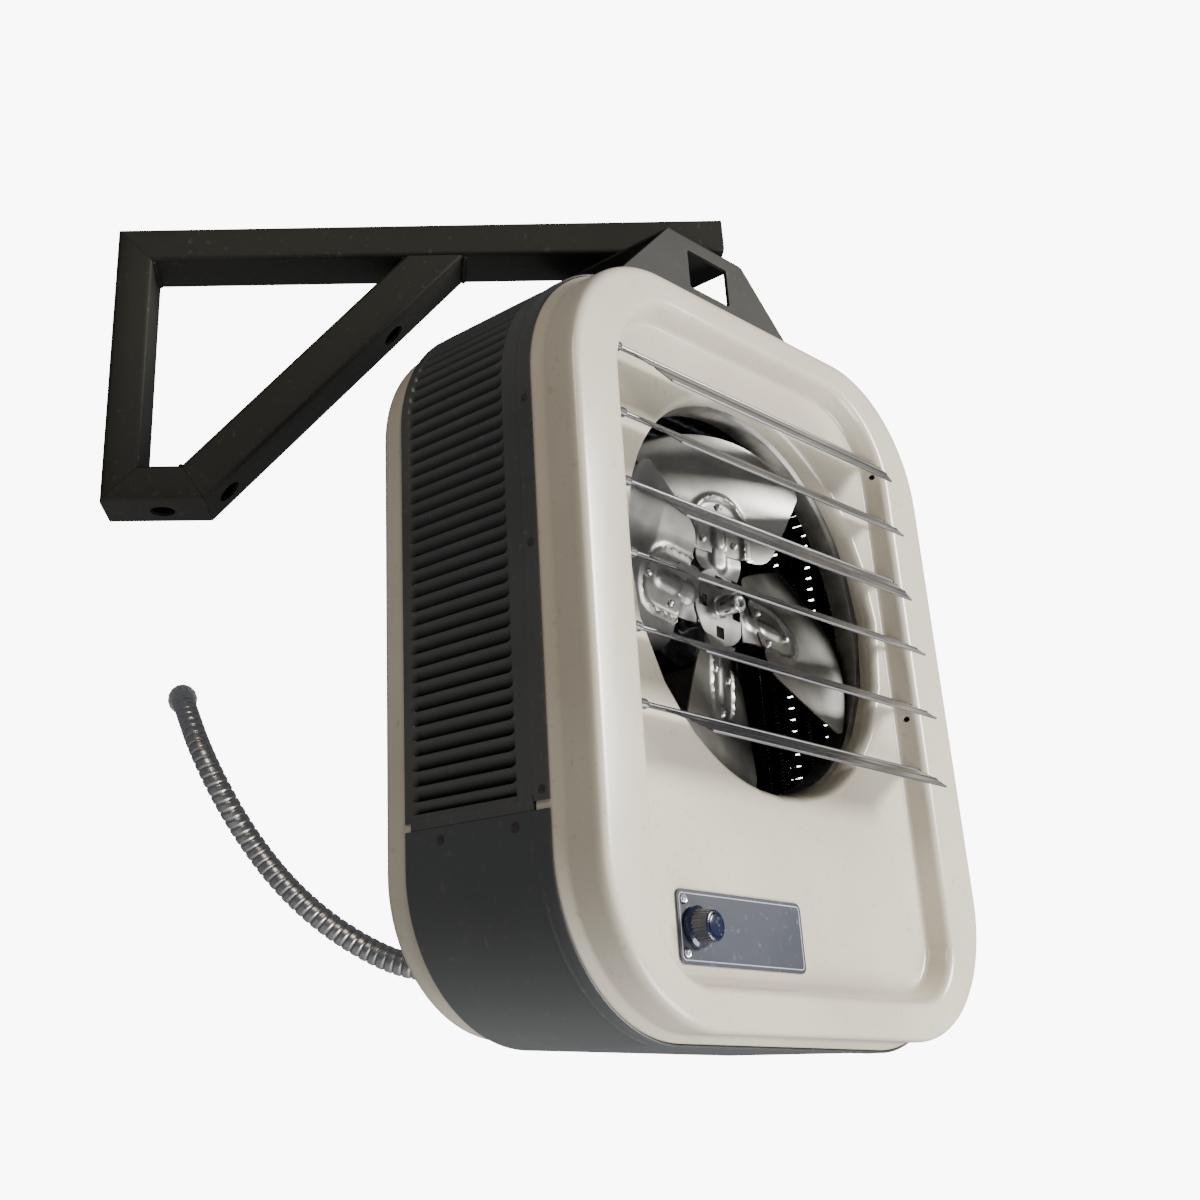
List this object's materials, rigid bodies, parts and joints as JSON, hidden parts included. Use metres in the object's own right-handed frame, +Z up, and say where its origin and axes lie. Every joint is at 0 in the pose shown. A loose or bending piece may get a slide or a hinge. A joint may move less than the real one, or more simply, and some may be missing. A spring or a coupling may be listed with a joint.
{
  "type": "suspended electric unit heater",
  "caption": "Fan-blown electric unit heater in a rounded sheet-steel casing with louvers and a wrap-round grille, hung by a swivel yoke from a braced arm.",
  "frame": {"origin": "point on the arm's top face above the swivel bolt, where the arm bolts up under a beam", "axes": "+Z up and out of the arm's top face, -Y the way the heater's louvers face at rest, +X to its right side seen from behind it"},
  "size_m": [0.6152, 0.6795, 0.7106],
  "materials": {
    "cream_enamel": "semi-gloss, weathered",
    "charcoal_enamel": "satin",
    "black_enamel": "satin",
    "polished_aluminium": "polished",
    "galvanised_steel": "galvanised",
    "sheathed_steel": "plain",
    "slate_plate": "matte",
    "black_plastic": "satin",
    "phenolic": "matte",
    "steatite": "unglazed"
  },
  "bodies": {
    "arm": {"arm_top_bar": "black_enamel", "arm_drop_leg": "black_enamel", "arm_foot_bar": "black_enamel", "arm_diagonal_brace": "black_enamel", "swivel_weld_nut": "galvanised_steel", "swivel_bolt": "galvanised_steel", "swivel_washer": "galvanised_steel"},
    "heater": {"front_panel": "cream_enamel", "rear_panel": "cream_enamel", "intake_grille": "charcoal_enamel", "lower_cover": "charcoal_enamel", "swivel_yoke": "black_enamel", "yoke_screw_1": "galvanised_steel", "yoke_screw_2": "galvanised_steel", "yoke_screw_3": "galvanised_steel", "yoke_screw_4": "galvanised_steel", "compartment_divider": "galvanised_steel", "fan_shroud": "galvanised_steel", "motor_housing": "sheathed_steel", "motor_bridge": "galvanised_steel", "motor_nut_1": "galvanised_steel", "motor_nut_2": "galvanised_steel", "heating_element_1": "sheathed_steel", "heating_element_2": "sheathed_steel", "heating_element_3": "sheathed_steel", "element_support_left": "galvanised_steel", "element_support_right": "galvanised_steel", "element_bushing_1": "steatite", "element_bushing_2": "steatite", "element_bushing_3": "steatite", "element_bushing_4": "steatite", "element_bushing_5": "steatite", "element_bushing_6": "steatite", "terminal_block": "phenolic", "contactor": "phenolic", "thermostat_body": "phenolic", "limit_switch": "phenolic", "earth_lug": "galvanised_steel", "control_plate": "slate_plate", "plate_screw_1": "galvanised_steel", "plate_screw_2": "galvanised_steel", "connector_nut": "galvanised_steel", "conduit": "sheathed_steel", "conduit_connector": "galvanised_steel", "conduit_end_connector": "galvanised_steel"},
    "fan": {"motor_shaft": "sheathed_steel", "fan_hub": "polished_aluminium", "fan_spider": "polished_aluminium", "fan_blade_1": "polished_aluminium", "fan_blade_2": "polished_aluminium", "fan_blade_3": "polished_aluminium", "fan_blade_4": "polished_aluminium"},
    "thermostat_knob": {"thermostat_stem": "sheathed_steel", "thermostat_knob": "black_plastic"},
    "louver_1": {"louver_blade_1": "polished_aluminium"},
    "louver_2": {"louver_blade_2": "polished_aluminium"},
    "louver_3": {"louver_blade_3": "polished_aluminium"},
    "louver_4": {"louver_blade_4": "polished_aluminium"},
    "louver_5": {"louver_blade_5": "polished_aluminium"},
    "louver_6": {"louver_blade_6": "polished_aluminium"}
  },
  "joints": [
    {"name": "heater_swivel", "type": "hinge", "parent": "arm", "child": "heater", "pos_m": [0, 0, -0.04], "axis": [0, 0, 1], "range_deg": [-45, 45]},
    {"name": "fan_spin", "type": "hinge", "parent": "heater", "child": "fan", "pos_m": [0, -0.04275, -0.3735], "axis": [0, 1, 0], "continuous": true},
    {"name": "thermostat_turn", "type": "hinge", "parent": "heater", "child": "thermostat_knob", "pos_m": [-0.1245, -0.09875, -0.635], "axis": [0, 1, 0], "range_deg": [-135, 135]},
    {"name": "louver_1_tilt", "type": "hinge", "parent": "heater", "child": "louver_1", "pos_m": [0, -0.10275, -0.2155], "axis": [1, 0, 0], "range_deg": [-48, 32]},
    {"name": "louver_2_tilt", "type": "hinge", "parent": "heater", "child": "louver_2", "pos_m": [0, -0.10275, -0.2707], "axis": [1, 0, 0], "range_deg": [-41, 39]},
    {"name": "louver_3_tilt", "type": "hinge", "parent": "heater", "child": "louver_3", "pos_m": [0, -0.10275, -0.3259], "axis": [1, 0, 0], "range_deg": [-44, 36]},
    {"name": "louver_4_tilt", "type": "hinge", "parent": "heater", "child": "louver_4", "pos_m": [0, -0.10275, -0.3811], "axis": [1, 0, 0], "range_deg": [-33, 47]},
    {"name": "louver_5_tilt", "type": "hinge", "parent": "heater", "child": "louver_5", "pos_m": [0, -0.10275, -0.4363], "axis": [1, 0, 0], "range_deg": [-30, 50]},
    {"name": "louver_6_tilt", "type": "hinge", "parent": "heater", "child": "louver_6", "pos_m": [0, -0.10275, -0.4915], "axis": [1, 0, 0], "range_deg": [-30, 50]}
  ]
}
